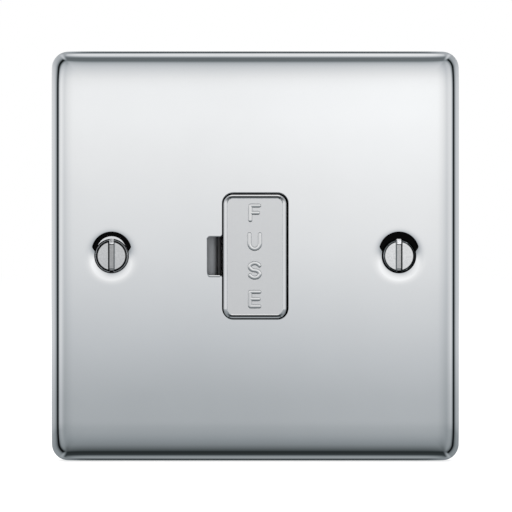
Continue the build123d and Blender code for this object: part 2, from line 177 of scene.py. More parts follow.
class Skin:
    """Collects points with their own normals, and faces that use them."""

    def __init__(self):
        self.points = []
        self.normals = []
        self.faces = []
        self.smooth = []

    def add(self, point, normal=NO_NORMAL):
        self.points.append(tuple(point))
        self.normals.append(tuple(normal))
        return len(self.points) - 1

    def ring(self, points, normals=None):
        """Adds points with their normals. Faces are shaded flat at points that have none."""
        if normals is None:
            normals = [NO_NORMAL] * len(points)
        return [self.add(point, normal) for point, normal in zip(points, normals)]

    def face(self, corners, smooth=True):
        self.faces.append(tuple(corners))
        self.smooth.append(smooth)

    def bridge(self, first, second, smooth=True):
        """Joins two closed rings that have as many points by a band of faces."""
        for i in range(len(first)):
            j = (i + 1) % len(first)
            self.face((first[i], first[j], second[j], second[i]), smooth)

    def build(self, name):
        mesh = bpy.data.meshes.new(name)
        mesh.from_pydata([Vector(p) * MM for p in self.points], [], self.faces)
        mesh.polygons.foreach_set("use_smooth", [True] * len(self.faces))
        mesh.update()
        corner_normals = []
        for poly, smooth in zip(mesh.polygons, self.smooth):
            for vertex in poly.vertices:
                normal = Vector(self.normals[vertex])
                if not smooth or normal.length == 0:
                    normal = poly.normal
                corner_normals.append(normal.normalized())
        mesh.normals_split_custom_set(corner_normals)
        obj = bpy.data.objects.new(name, mesh)
        bpy.context.scene.collection.objects.link(obj)
        return obj


def with_y(flat, y):
    """Points of a flat line, at one depth."""
    return [(p[0], y, p[1]) for p in flat]


def circle(cx, cz, r, count):
    a = np.arange(count) * 2 * math.pi / count
    return np.stack([cx + r * np.cos(a), cz + r * np.sin(a)], axis=1)


def rounded_rectangle(half_x, half_z, radius, per_side, per_corner):
    """Closed outline, counter-clockwise, with more points near its corners, which are round or plain."""
    if radius <= 0:
        radius, per_corner = 0, 0
    ax, az = half_x - radius, half_z - radius
    centres = [(ax, az), (-ax, az), (-ax, -az), (ax, -az)]
    points = []
    for k, (cx, cz) in enumerate(centres):
        for i in range(per_corner + 1):
            a = math.pi / 2 * (k + i / max(per_corner, 1))
            points.append((cx + radius * math.cos(a), cz + radius * math.sin(a)))
        start_x, start_z = points[-1]
        next_x, next_z = centres[(k + 1) % 4]
        for i in range(1, per_side):
            f = 0.5 - 0.5 * math.cos(math.pi * i / per_side)
            points.append((start_x + (next_x - cx) * f, start_z + (next_z - cz) * f))
    return np.array(points)


def plate_outline(inset):
    """The plate's outline moved in by an inset."""
    return rounded_rectangle(HALF_X - inset, HALF_Z - inset, CORNER - inset, PER_SIDE, PER_CORNER)


def aperture_outline(steps=10):
    """Outline of the aperture and its notch, counter-clockwise, with its outward directions."""
    round_x, round_z = APERTURE_X - APERTURE_R, APERTURE_Z - APERTURE_R
    notch_x, notch_z = APERTURE_X + NOTCH - NOTCH_R, NOTCH_Z - NOTCH_R
    mouth_x, mouth_z = APERTURE_X + MOUTH_R, NOTCH_Z + MOUTH_R
    arcs = [
        (round_x, -round_z, APERTURE_R, -90, 0),
        (round_x, round_z, APERTURE_R, 0, 90),
        (-round_x, round_z, APERTURE_R, 90, 180),
        (-mouth_x, mouth_z, MOUTH_R, 0, -90),
        (-notch_x, notch_z, NOTCH_R, 90, 180),
        (-notch_x, -notch_z, NOTCH_R, 180, 270),
        (-mouth_x, -mouth_z, MOUTH_R, 90, 0),
        (-round_x, -round_z, APERTURE_R, 180, 270),
    ]
    points, outward = [], []
    for cx, cz, radius, start, end in arcs:
        sign = 1 if end > start else -1
        for i in range(steps + 1):
            a = math.radians(start + (end - start) * i / steps)
            points.append((cx + radius * math.cos(a), cz + radius * math.sin(a)))
            outward.append((sign * math.cos(a), sign * math.sin(a)))
    return np.array(points), np.array(outward)


def well_ring(side, share):
    """Closed line round a screw, from the hole's edge at 0 to beyond the dish at 1."""
    a = np.arange(WELL_POINTS) * 2 * math.pi / WELL_POINTS
    over = np.degrees(np.arcsin(np.sin(a)))
    t = np.clip((over - GAP_START) / (GAP_FULL - GAP_START), 0, 1)
    wide = WELL_RISE * np.sin(a) + np.sqrt(WELL_R ** 2 - (WELL_RISE * np.cos(a)) ** 2)
    edge = THROAT_R + (wide - THROAT_R) * t * t * (3 - 2 * t)
    r = edge + (DISH_R + DISH_MARGIN - edge) * share
    return np.stack([side * WELL_X + r * np.cos(a), r * np.sin(a)], axis=1)


def inside_distance(x, z, inset=0.0):
    """Distance from the plate's outline moved in by an inset, positive inside."""
    past_x, past_z = np.abs(x) - (HALF_X - CORNER), np.abs(z) - (HALF_Z - CORNER)
    outer = np.hypot(np.maximum(past_x, 0), np.maximum(past_z, 0))
    return CORNER - inset - (outer + np.minimum(np.maximum(past_x, past_z), 0))


def rim_outward(ring, inset=0.0):
    """Outward directions along the plate's outline moved in by an inset."""
    reach = 1e-4
    shrink = 1 - 1e-5
    x, z = ring[:, 0] * shrink, ring[:, 1] * shrink
    along_x = inside_distance(x + reach, z, inset) - inside_distance(x - reach, z, inset)
    along_z = inside_distance(x, z + reach, inset) - inside_distance(x, z - reach, inset)
    outward = -np.stack([along_x, along_z], axis=1)
    return outward / np.linalg.norm(outward, axis=1)[:, None]


def tail_drop(x, z):
    """Gentle fall of the face towards its rim."""
    near_x = np.maximum(0, 1 - (HALF_X - np.abs(x)) / TAIL_WIDTH)
    near_z = np.maximum(0, 1 - (HALF_Z - np.abs(z)) / TAIL_WIDTH)
    return TAIL_DEPTH * (near_x ** 3 + near_z ** 3)


def round_drop(distance, width, depth):
    """Fall of a rounded edge, by the distance from its outline."""
    t = np.clip(1 - np.maximum(distance, 0) / width, 0, 1)
    return depth * (1 - np.sqrt(1 - t * t))


def dish_drop(r):
    """Fall of the shallow dish towards a screw, straight on from its steepest part."""
    t = np.maximum(0, (DISH_R - r) / DISH_WIDTH)
    curved = np.minimum(t, DISH_STEEPEST)
    slope = DISH_DEPTH * DISH_POWER * DISH_STEEPEST ** (DISH_POWER - 1)
    return DISH_DEPTH * curved ** DISH_POWER + slope * (t - curved)


def front_drop(x, z):
    """How far the front surface lies behind the plane of the face."""
    drop = round_drop(inside_distance(x, z), EDGE_WIDTH, EDGE_DEPTH) + tail_drop(x, z)
    for side in (LEFT, RIGHT):
        drop = drop + dish_drop(np.hypot(x - side * WELL_X, z))
    return drop


def back_drop(x, z):
    """How far the back surface lies behind the plane of the sheet's back."""
    return round_drop(inside_distance(x, z, SHEET), BACK_BEND, BACK_BEND) + tail_drop(x, z)


def slope_normals(drop, points, facing):
    """Normals of a surface given by its drop, facing the front at 1 or the back at -1."""
    reach = 1e-3
    x, z = points[:, 0], points[:, 1]
    slope_x = (drop(x + reach, z) - drop(x - reach, z)) / (2 * reach)
    slope_z = (drop(x, z + reach) - drop(x, z - reach)) / (2 * reach)
    normals = np.stack([slope_x, -np.ones_like(slope_x), slope_z], axis=1) * facing
    return normals / np.linalg.norm(normals, axis=1)[:, None]


def inside_polygon(polygon, x, z):
    """True where points lie in a closed polygon."""
    inside = np.zeros(len(x), bool)
    for (x0, z0), (x1, z1) in zip(polygon, np.roll(polygon, -1, axis=0)):
        crosses = (z0 > z) != (z1 > z)
        with np.errstate(divide="ignore", invalid="ignore"):
            at = x0 + (z - z0) * (x1 - x0) / (z1 - z0)
        inside ^= crosses & (x < at)
    return inside


def fill_sheet(skin, rings, holes, drop, base_y, facing, rim_normals):
    """Triangulated sheet through closed rings, open at the holes. Returns each ring's vertices."""
    points, edges, spans = [], [], []
    for ring in rings:
        start, count = len(points), len(ring)
        points.extend(Vector(p) for p in ring)
        spans.append(range(start, start + count))
        edges.extend((start + i, start + (i + 1) % count) for i in range(count))
    filled = geometry.delaunay_2d_cdt(points, edges, [], 0, JOIN_WITHIN)
    flat = np.array([tuple(p) for p in filled[0]])
    triangles = np.array(filled[2])
    new_index = {}
    for new, origins in enumerate(filled[3]):
        for origin in origins:
            new_index[origin] = new
    normals = slope_normals(drop, flat, facing)
    depths = base_y + drop(flat[:, 0], flat[:, 1])
    ids = [skin.add((p[0], y, p[1]), n) for p, y, n in zip(flat, depths, normals)]
    result = [[ids[new_index[i]] for i in span] for span in spans]
    for vertex, normal in zip(result[0], rim_normals):
        skin.normals[vertex] = normal
    centres = flat[triangles].mean(axis=1)
    keep = np.ones(len(triangles), bool)
    for hole in holes:
        keep &= ~inside_polygon(hole, centres[:, 0], centres[:, 1])
    for triangle in triangles[keep]:
        skin.face([ids[i] for i in triangle[::facing]])
    return result


def make_plate():
    """The pressed plate as one closed skin: rim, wells, aperture and notch."""
    skin = Skin()

    # the aperture's bevelled edge is broader along the foot of the notch
    opening, outward = aperture_outline()
    in_notch = np.clip((-opening[:, 0] - APERTURE_X - NOTCH_EDGE_START) / NOTCH_EDGE_RUN, 0, 1)
    at_foot = in_notch * np.maximum(0, -outward[:, 1]) ** 2
    edge_width = (APERTURE_EDGE + (NOTCH_EDGE - APERTURE_EDGE) * at_foot)[:, None]
    opening_edge = opening + outward * edge_width

    # front of the sheet
    rings = [plate_outline(inset) for inset in FRONT_INSETS]
    well_at = {}
    for side in (LEFT, RIGHT):
        well_at[side] = len(rings)
        rings.extend(well_ring(side, share) for share in DISH_SHARES)
    rings.append(opening_edge)
    rim_out = rim_outward(rings[0])
    side_normals = with_y(rim_out, 0)
    holes = [rings[well_at[side]] for side in (LEFT, RIGHT)] + [opening_edge]
    front = fill_sheet(skin, rings, holes, front_drop, FACE_Y, 1, side_normals)

    # back of the sheet
    back_rings = [plate_outline(SHEET + inset) for inset in BACK_INSETS]
    cup_at = {}
    for side in (LEFT, RIGHT):
        cup_at[side] = len(back_rings)
        back_rings.append(circle(side * WELL_X, CUP_RISE, CUP_R, WELL_POINTS))
        back_rings.append(circle(side * WELL_X, CUP_RISE, CUP_R + SHEET, CUP_POINTS))
    back_rings.append(opening)
    inner_normals = with_y(-rim_outward(back_rings[0], SHEET), 0)
    holes = [back_rings[cup_at[side]] for side in (LEFT, RIGHT)] + [opening]
    back = fill_sheet(skin, back_rings, holes, back_drop, FACE_Y + SHEET, -1, inner_normals)

    # side of the rim, its foot on the wall and the inside of the rim
    previous = front[0]
    for y in (RIM_BREAK_Y, -FOOT):
        ring = skin.ring(with_y(rings[0], y), side_normals)
        skin.bridge(ring, previous)
        previous = ring
    foot_out = skin.ring(with_y(plate_outline(FOOT), 0))
    skin.bridge(foot_out, previous, smooth=False)
    foot_in = skin.ring(with_y(plate_outline(SHEET), 0), with_y(-rim_out, 0))
    skin.bridge(foot_in, foot_out, smooth=False)
    skin.bridge(back[0], foot_in)

    for side in (LEFT, RIGHT):
        make_well(skin, side, front[well_at[side]], back[cup_at[side]])
    make_collar(skin, LEFT)

    # wall of the aperture
    previous = front[-1]
    for share, depth in BEVEL:
        flat = opening + outward * edge_width * share
        points = [(p[0], FACE_Y + width * depth, p[1]) for p, width in zip(flat, edge_width[:, 0])]
        ring = skin.ring(points)
        skin.bridge(previous, ring, smooth=False)
        previous = ring
    skin.bridge(previous, back[-1], smooth=False)
    return skin.build("plate_skin")


def make_well(skin, side, front_edge, back_edge):
    """Wall, floor and shank hole of one well, and its cup seen from behind."""
    x = side * WELL_X
    hole = circle(x, 0, HOLE_R, WELL_POINTS)
    seat_out = skin.ring(with_y(well_ring(side, 0), SEAT_Y), [FORWARD] * WELL_POINTS)
    skin.bridge(front_edge, seat_out, smooth=False)
    seat_in = skin.ring(with_y(hole, SEAT_Y), [FORWARD] * WELL_POINTS)
    skin.bridge(seat_out, seat_in)
    previous = skin.ring(with_y(hole, SEAT_Y + SHEET), [BACKWARD] * WELL_POINTS)
    skin.bridge(seat_in, previous, smooth=False)
    for k in range(CUP_STEPS + 1):
        c, s = math.cos(math.pi / 2 * k / CUP_STEPS), math.sin(math.pi / 2 * k / CUP_STEPS)
        r = CUP_R - CUP_BEND * (1 - s)
        cup = circle(x, CUP_RISE, r, WELL_POINTS)
        normals = [((p[0] - x) * s, r * c, (p[1] - CUP_RISE) * s) for p in cup]
        ring = skin.ring(with_y(cup, SEAT_Y + SHEET - CUP_BEND * (1 - c)), normals)
        skin.bridge(previous, ring)
        previous = ring
    skin.bridge(previous, back_edge, smooth=False)


def make_collar(skin, side):
    """Bright sloping shoulder above a screw's head, a crescent in plan, open behind the slot."""
    x = side * WELL_X
    near = THROAT_R - COLLAR_CLEAR
    slope = (0, -1, COLLAR_SLOPE)
    rows = []
    for k in range(COLLAR_STEPS + 1):
        a = math.radians(COLLAR_START + COLLAR_SWEEP * k / COLLAR_STEPS)
        c, s = math.cos(a), math.sin(a)
        far = COLLAR_RISE * s + math.sqrt(COLLAR_R ** 2 - (COLLAR_RISE * c) ** 2)
        far = max(near + COLLAR_LEAST, far)
        fall = COLLAR_Y + COLLAR_SLOPE * (far - near) * s
        foot = fall + COLLAR_SHELF if abs(far * c) < COLLAR_ARCH else SEAT_Y
        rows.append(
            (
                skin.add((x + near * c, COLLAR_Y, near * s), slope),
                skin.add((x + far * c, fall, far * s), slope),
                skin.add((x + far * c, foot, far * s)),
                skin.add((x + near * c, foot, near * s)),
            )
        )
    for first, second in zip(rows, rows[1:]):
        for i in range(4):
            j = (i + 1) % 4
            skin.face((first[i], first[j], second[j], second[i]), smooth=i == 0)
    skin.face(rows[0][::-1], smooth=False)
    skin.face(rows[-1], smooth=False)


def copy_faces(skin, name, leave_out):
    """Copies a CAD node's faces but for some, and returns the corners of those left out."""
    source = nodes[name].data
    known, left = {}, []
    for poly in source.polygons:
        corners = [source.vertices[v].co / MM for v in poly.vertices]
        if leave_out(corners):
            left.extend(corners)
            continue
        ids = []
        for corner, loop in zip(corners, poly.loop_indices):
            normal = source.corner_normals[loop].vector
            key = tuple(round(v, 4) for v in (*corner, *normal))
            if key not in known:
                known[key] = skin.add(corner, normal)
            ids.append(known[key])
        skin.face(ids)
    return left


def make_screws():
    """The fixing screws as they are in the CAD model, with a thread cut in their shanks."""
    skin = Skin()

    def on_shank(corners):
        off = [abs(math.hypot(abs(c.x) - WELL_X, c.z) - THREAD_R) for c in corners]
        depths = [c.y for c in corners]
        return max(off) < SHANK_CLOSE and max(depths) - min(depths) > PITCH

    left = copy_faces(skin, "fixing_screws", on_shank)
    for side in (LEFT, RIGHT):
        corners = [c for c in left if c.x * side > 0]
        start, end = min(c.y for c in corners), max(c.y for c in corners)
        angles = sorted({round(math.atan2(c.z, c.x - side * WELL_X), 5) for c in corners})
        count = round((end - start) / PITCH * RINGS_PER_PITCH)
        previous = None
        for k in range(count + 1):
            y = start + (end - start) * k / count
            fade = min(1, (y - start) / PITCH, (end - y) / PITCH)
            points = []
            for a in angles:
                turn = (y / PITCH + a / (2 * math.pi)) % 1
                r = THREAD_R - THREAD_DEPTH * fade * (1 - abs(2 * turn - 1))
                points.append((side * WELL_X + r * math.cos(a), y, r * math.sin(a)))
            ring = skin.ring(points)
            if previous:
                skin.bridge(ring, previous)
            previous = ring
    return skin.build("screws_threaded")


def make_carrier():
    """The carrier as it is in the CAD model, but for its face."""
    skin = Skin()

    def on_face(corners):
        return all(c.y < CARRIER_Y + FACE_CLOSE for c in corners)

    rim = {(round(c.x, 3), round(c.z, 3)) for c in copy_faces(skin, "fuse_carrier", on_face)}
    per_corner = len(rim) // 4 - 1
    slope = CARRIER_STEP / CARRIER_STEP_WIDTH
    turns = [math.pi / 2 * (k + i / per_corner) for k in range(4) for i in range(per_corner + 1)]
    leaning = [(-math.cos(a) * slope, -1, -math.sin(a) * slope) for a in turns]
    outlines = []
    for inset, depth in ((0, 0), (CARRIER_STEP_WIDTH, CARRIER_STEP)):
        half_x, half_z = CARRIER_HALF_X - inset, CARRIER_HALF_Z - inset
        flat = rounded_rectangle(half_x, half_z, CARRIER_R - inset, 1, per_corner)
        outlines.append(with_y(flat + (CARRIER_X, CARRIER_Z), CARRIER_Y + depth))
    edge, foot = [skin.ring(outline, leaning) for outline in outlines]
    skin.bridge(edge, foot)
    skin.face(skin.ring(outlines[1], [FORWARD] * len(turns)))
    return skin.build("carrier_skin")


def arc(cx, cz, rx, rz, start, end, steps=18):
    """Points along part of an ellipse, between two angles in degrees."""
    points = []
    for i in range(steps + 1):
        a = math.radians(start + (end - start) * i / steps)
        points.append((cx + rx * math.cos(a), cz + rz * math.sin(a)))
    return points


def letter_strokes():
    """Centre lines of the letters F, U, S and E, each about its own middle."""
    h, bowl, bend = LETTER_H, LETTER_H / 2, U_HALF - LETTER_H
    f = [[(-F_HALF, -h), (-F_HALF, h), (F_HALF, h)], [(-F_HALF, 0), (F_HALF * F_ARM, 0)]]
    u = [[(-U_HALF, h), (-U_HALF, bend)] + arc(0, bend, U_HALF, U_HALF, 180, 360)[1:] + [(U_HALF, h)]]
    s = [arc(0, bowl, S_HALF, bowl, 20, 270) + arc(0, -bowl, S_HALF, bowl, 90, -160)[1:]]
    e = [[(E_HALF, h), (-E_HALF, h), (-E_HALF, -h), (E_HALF, -h)], [(-E_HALF, 0), (E_HALF * E_ARM, 0)]]
    return [f, u, s, e]


def spread(path):
    """Path with points at even steps, and its corners a little eased."""
    points = [np.array(p, float) for p in path]
    dense = [points[0]]
    for a, b in zip(points, points[1:]):
        count = max(1, int(np.linalg.norm(b - a) / STROKE_SPACING))
        dense.extend(a + (b - a) * i / count for i in range(1, count + 1))
    dense = np.array(dense)
    for _ in range(STROKE_EASING):
        dense[1:-1] = dense[1:-1] / 2 + (dense[:-2] + dense[2:]) / 4
    return dense


def stroke_mesh(skin, path, cx, cz):
    """Closed flattened tube along a path, with round ends."""
    path = spread(path)
    tangents = np.gradient(path, axis=0)
    tangents /= np.linalg.norm(tangents, axis=1)[:, None]
    turns = [math.pi / 2 * k / (STROKE_CAPS + CAP_OPEN) for k in range(1, STROKE_CAPS + 1)]
    rows = [(path[0], tangents[0], -b) for b in reversed(turns)]
    rows += [(p, t, 0.0) for p, t in zip(path, tangents)]
    rows += [(path[-1], tangents[-1], b) for b in turns]
    previous = None
    for middle, tangent, b in rows:
        across = np.array([-tangent[1], tangent[0]])
        centre = middle + tangent * STROKE * math.sin(b)
        ring = []
        for i in range(STROKE_SIDES):
            a = 2 * math.pi * i / STROKE_SIDES
            p = centre + across * STROKE * math.cos(b) * math.cos(a)
            y = CARRIER_Y + CARRIER_STEP - STROKE_RISE * math.cos(b) * math.sin(a)
            flat = (across * math.cos(b) * math.cos(a) + tangent * math.sin(b)) / STROKE
            normal = (flat[0], -math.cos(b) * math.sin(a) / STROKE_RISE, flat[1])
            ring.append(skin.add((cx + p[0], y, cz + p[1]), normal))
        if previous:
            skin.bridge(previous, ring)
        else:
            skin.face(ring[::-1])
        previous = ring
    skin.face(previous)


def make_lettering():
    """The four letters, one below the other."""
    skin = Skin()
    for k, strokes in enumerate(letter_strokes()):
        for path in strokes:
            stroke_mesh(skin, path, LETTER_X, LETTER_PITCH * (1.5 - k))
    return skin.build("fuse_lettering")


# Materials. Limits between which a finish changes are depths, places and distances from a screw's axis,
# in metres, or parts of a normal
SHARE = (0.0, 1.0)
GRAIN = (0.3, 0.7)
METAL_RELIEF = 0.00002
PLASTIC_RELIEF = 0.00003
SOFT = 0.04 * MM
CRISP = 0.02 * MM

# Depth and reach of the painted shade inside the screw wells
WELL_SHADE_Y = mm(-5.72, -5.5)
WELL_SHADE_R = mm(5.3, 5.5)
CUP_AWAY = mm(4.2, 4.4)
CUP_CLOSE = mm(5.9, 6.1)
FACING_BACK = (0.2, 0.5)
RIM_INWARD = mm(-20, -5)
RIM_FAR = mm(38, 39)

SIDE_X = mm(-1, 1)
SLOT_X = mm(0.42, 0.5)
SLOT_TOP_Z = mm(2.5, 2.6)
SLOT_LINE_Z = mm(2.32, 2.5)
SLOT_FLOOR_Y = mm(-6.0, -5.7)
LIP_X = mm(-0.6, -0.42)
LIP_R = mm(2.7, 2.9)
LEFT_RING = mm(2.88, 3.24)
LEFT_EDGE = mm(3.26, 3.8)
RIGHT_RING = mm(2.92, 3.1)
RIGHT_EDGE = mm(3.28, 3.8)
TURNED_SCALE = 5200.0
HEAD_GRAIN_SCALE = 2600

# Where the painted shade on the frame moulding begins and where it is full
LEDGE_X = mm(-8.5, -7.4)
SATIN_Y = mm(-6.22, -6.2)
SATIN_NORMAL = (-0.975, -0.955)
UPWARD_NORMAL = (0.06, 0.3)
BEVEL_NORMAL = (-0.96, -0.86)
BEVEL_SOFT = 0.01
CARRIER_BARE_Y = mm(-5.7, -5.4)

# Factors on a material's own colour, and roughness where a finish is not polished. Most colour factors
# here are painted shade, painted dark reflections or a painted highlight; the turned marks, head grain and
# dull back belong to the metal itself
WELL_SHADE = 0.004
DULL_BACK = 0.72
TURNED = (0.92, 1.0)
HEAD_GRAIN = (0.90, 1.04)
HEAD_SHADES = (0.88, 1.05)
SLOT_FLOOR_SHADE = 0.66
SLOT_LINE_SHADE = 0.15
SLOT_TOP_HIGHLIGHT = 1.2
RING_REFLECTION = 0.03
LIP_SHADE = 0.35
CHAMBER_SHADE = 0.06
UPPER_BEVEL_SHADE = 0.3
DARK_BACK_AND_SHADE = 0.05
BACK_ROUGH = 0.36
EDGE_ROUGH = 0.6
SATIN_ROUGH = 0.33
MOULDED_ROUGH = 0.4


class Graph:
    """Adds nodes to one node tree, and links them."""

    def __init__(self, tree):
        self.tree = tree

    def add(self, kind):
        return self.tree.nodes.new(kind)

    def feed(self, socket, value):
        """Writes a plain number or colour to a socket, and links anything else to it."""
        if isinstance(value, (int, float)):
            socket.default_value = value
        elif isinstance(value, tuple):
            socket.default_value = (*value, 1)
        else:
            self.tree.links.new(value, socket)

    def place(self, output="Object"):
        """X, Y and Z of the object's own place or normal, or of the world's direction."""
        split = self.add("ShaderNodeSeparateXYZ")
        self.feed(split.inputs[0], self.add("ShaderNodeTexCoord").outputs[output])
        return tuple(split.outputs)

    def math(self, operation, *values):
        node = self.add("ShaderNodeMath")
        node.operation = operation
        for socket, value in zip(node.inputs, values):
            self.feed(socket, value)
        return node.outputs[0]

    def product(self, result, *factors):
        for factor in factors:
            result = self.math("MULTIPLY", result, factor)
        return result

    def inverse(self, share):
        """What a share leaves of one."""
        return self.math("SUBTRACT", 1.0, share)

    def step(self, value, limits, start=0.0, end=1.0, kind="SMOOTHSTEP"):
        """Runs from one number to another while a value runs between two limits."""
        node = self.add("ShaderNodeMapRange")
        node.interpolation_type = kind
        for name, number in zip(("From Min", "From Max", "To Min", "To Max"), (*limits, start, end)):
            node.inputs[name].default_value = number
        self.feed(node.inputs["Value"], value)
        return node.outputs["Result"]

    def band(self, value, limits, soft):
        """One between two limits and nothing outside them, with soft edges."""
        low, high = limits
        rise = self.step(value, (low - soft, low + soft))
        return self.product(rise, self.step(value, (high - soft, high + soft), 1.0, 0.0))

    def blend(self, share, first, second):
        """Number between two, by a share."""
        return self.math("MULTIPLY_ADD", self.inverse(share), first, self.product(share, second))

    def mix(self, share, first, second, kind="MIX"):
        """Colour between two, by a share."""
        node = self.add("ShaderNodeMix")
        node.data_type = "RGBA"
        node.blend_type = kind
        for socket, value in ((0, share), (6, first), (7, second)):
            self.feed(node.inputs[socket], value)
        return node.outputs[2]

    def ramp(self, value, stops):
        """Level or colour along a value between 0 and 1."""
        node = self.add("ShaderNodeValToRGB")
        elements = node.color_ramp.elements
        elements.remove(elements[-1])
        for k, (position, level) in enumerate(stops):
            element = elements[0] if k == 0 else elements.new(position)
            element.position = position
            element.color = (*(level if isinstance(level, tuple) else (level,) * 3), 1)
        self.feed(node.inputs["Fac"], value)
        return node.outputs["Color"]

    def noise(self, scale, detail=3.0, rough=0.5):
        node = self.add("ShaderNodeTexNoise")
        node.inputs["Scale"].default_value = scale
        node.inputs["Detail"].default_value = detail
        node.inputs["Roughness"].default_value = rough
        self.feed(node.inputs["Vector"], self.add("ShaderNodeTexCoord").outputs["Object"])
        return node.outputs["Fac"]


class Finish(Graph):
    """A material with a fine grain in its colour, its roughness and its relief."""

    def __init__(self, name, dark, light, rough):
        self.material = bpy.data.materials.new(name)
        self.material.use_nodes = True
        super().__init__(self.material.node_tree)
        self.sockets = self.tree.nodes["Principled BSDF"].inputs
        self.dark, self.light, self.rough = dark, light, rough

    def grain(self, noise, strength, distance):
        self.feed(self.sockets["Base Color"], self.ramp(noise, zip(GRAIN, (self.dark, self.light))))
        self.feed(self.sockets["Roughness"], self.step(noise, GRAIN, *self.rough, "LINEAR"))
        if strength:
            bump = self.add("ShaderNodeBump")
            bump.inputs["Strength"].default_value = strength
            bump.inputs["Distance"].default_value = distance
            self.feed(bump.inputs["Height"], noise)
            self.feed(self.sockets["Normal"], bump.outputs["Normal"])

    def shade(self, factor):
        """Multiplies the colour by a factor that changes over the surface."""
        socket = self.sockets["Base Color"]
        self.feed(socket, self.mix(1.0, socket.links[0].from_socket, factor, "MULTIPLY"))

    def shade_where(self, share, factor):
        """Multiplies the colour by a factor where a share is one."""
        self.shade(self.step(share, SHARE, 1.0, factor))

    def roughen(self, share, rough):
        """Brings the roughness to a number where a share is one."""
        socket = self.sockets["Roughness"]
        self.feed(socket, self.blend(share, socket.links[0].from_socket, rough))


def metal(name, dark, light, rough, scale, strength):
    finish = Finish(name, dark, light, rough)
    finish.feed(finish.sockets["Metallic"], 1.0)
    finish.grain(finish.noise(scale), strength, METAL_RELIEF)
    return finish


def plastic(name, dark, light, rough, scale, strength):
    finish = Finish(name, dark, light, rough)
    finish.grain(finish.noise(scale, detail=5.0, rough=0.6), strength, PLASTIC_RELIEF)
    return finish


def beside_screw(graph, x):
    """How far a point lies outwards of the nearer fixing screw's axis, along X."""
    return graph.math("SUBTRACT", graph.math("ABSOLUTE", x), WELL_X * MM)


def from_screw(graph, x, z):
    """Distance from the axis of the nearer fixing screw."""
    off = beside_screw(graph, x)
    return graph.math("SQRT", graph.math("ADD", graph.product(off, off), graph.product(z, z)))


def seen_from_behind(graph, x, z):
    """One on the back of the plate and on the outside of its drawn wells."""
    nx, ny, nz = graph.place("Normal")
    aside = graph.product(nx, graph.math("SIGN", x))
    away = graph.math("MULTIPLY_ADD", beside_screw(graph, x), aside, graph.product(z, nz))
    close = graph.step(from_screw(graph, x, z), CUP_CLOSE, 1.0, 0.0)
    cups = graph.product(graph.step(away, CUP_AWAY), close)
    return graph.math("MAXIMUM", cups, graph.step(ny, FACING_BACK))


def painted_well_shade(finish):
    """Paints the inside of the screw wells nearly black: painted shade in the deep gap round each head."""
    x, y, z = finish.place()
    deep = finish.step(y, WELL_SHADE_Y)
    close = finish.step(from_screw(finish, x, z), WELL_SHADE_R, 1.0, 0.0)
    inner = finish.inverse(seen_from_behind(finish, x, z))
    # the wells' floor and walls are painted nearly black as shade
    finish.shade_where(finish.product(deep, close, inner), WELL_SHADE)


def dull_back(finish):
    """Leaves the back of the plate and the inside of its rim unpolished."""
    x, _, z = finish.place()
    nx, _, nz = finish.place("Normal")
    outward = finish.math("MULTIPLY_ADD", x, nx, finish.product(z, nz))
    far = finish.math("MAXIMUM", finish.math("ABSOLUTE", x), finish.math("ABSOLUTE", z))
    rim = finish.product(finish.step(outward, RIM_INWARD, 1.0, 0.0), finish.step(far, RIM_FAR))
    dull = finish.math("MAXIMUM", seen_from_behind(finish, x, z), rim)
    finish.roughen(dull, BACK_ROUGH)
    finish.shade_where(dull, DULL_BACK)


def turned_heads_with_painted_light(finish):
    """Turned marks and grain on the screw heads, with painted light: rings painted as dark reflections,
    painted shade deeper than the heads' faces, on a line in each slot and along the left slot's lip, a
    painted highlight of white paint at the slot tops, and the left head painted darker than the right.
    """
    x, y, z = finish.place()
    off = beside_screw(finish, x)
    r = from_screw(finish, x, z)
    right = finish.step(x, SIDE_X)
    left = finish.inverse(right)

    lathe = finish.add("ShaderNodeTexNoise")
    lathe.noise_dimensions = "1D"
    lathe.inputs["Scale"].default_value = TURNED_SCALE
    lathe.inputs["Detail"].default_value = 2.0
    finish.feed(lathe.inputs["W"], r)
    turned = finish.step(lathe.outputs["Fac"], GRAIN, *TURNED)
    grain = finish.step(finish.noise(HEAD_GRAIN_SCALE), GRAIN, *HEAD_GRAIN)

    # Painted light in the slots: painted shade on all that lies deeper than the heads' faces, slot floors
    # among it, and on a line below each slot's top, and a painted highlight at the tops, which are lighter
    # non-metal paint
    slot = finish.step(finish.math("ABSOLUTE", off), SLOT_X, 1.0, 0.0)
    tops = finish.product(slot, finish.step(z, SLOT_TOP_Z))
    lines = finish.product(slot, finish.band(z, SLOT_LINE_Z, SOFT))
    floors = finish.step(y, SLOT_FLOOR_Y, 1.0, SLOT_FLOOR_SHADE)
    slots = finish.blend(tops, finish.blend(lines, floors, SLOT_LINE_SHADE), SLOT_TOP_HIGHLIGHT)
    finish.feed(finish.sockets["Metallic"], finish.inverse(tops))

    # rings painted nearly black on each head's bevel and edge stand in for dark reflections
    right_rings = finish.math("ADD", finish.band(r, RIGHT_RING, CRISP), finish.band(r, RIGHT_EDGE, SOFT))
    rings = finish.blend(right, finish.band(r, LEFT_RING, CRISP), right_rings)
    rings = finish.product(rings, finish.inverse(slot))
    black = finish.math("MULTIPLY_ADD", rings, RING_REFLECTION - 1.0, 1.0)
    # painted shade: the left head is made darker and the right head a little lighter
    sides = finish.blend(tops, finish.step(x, SIDE_X, *HEAD_SHADES), 1.0)
    # painted shade along the left slot's edge, standing in for its rounded lip
    lip = finish.product(left, finish.band(off, LIP_X, CRISP), finish.step(r, LIP_R, 1.0, 0.0))
    lip_shade = finish.step(lip, SHARE, 1.0, LIP_SHADE)
    finish.shade(finish.product(turned, grain, slots, black, sides, lip_shade))
    finish.roughen(finish.product(left, finish.band(r, LEFT_EDGE, SOFT)), EDGE_ROUGH)


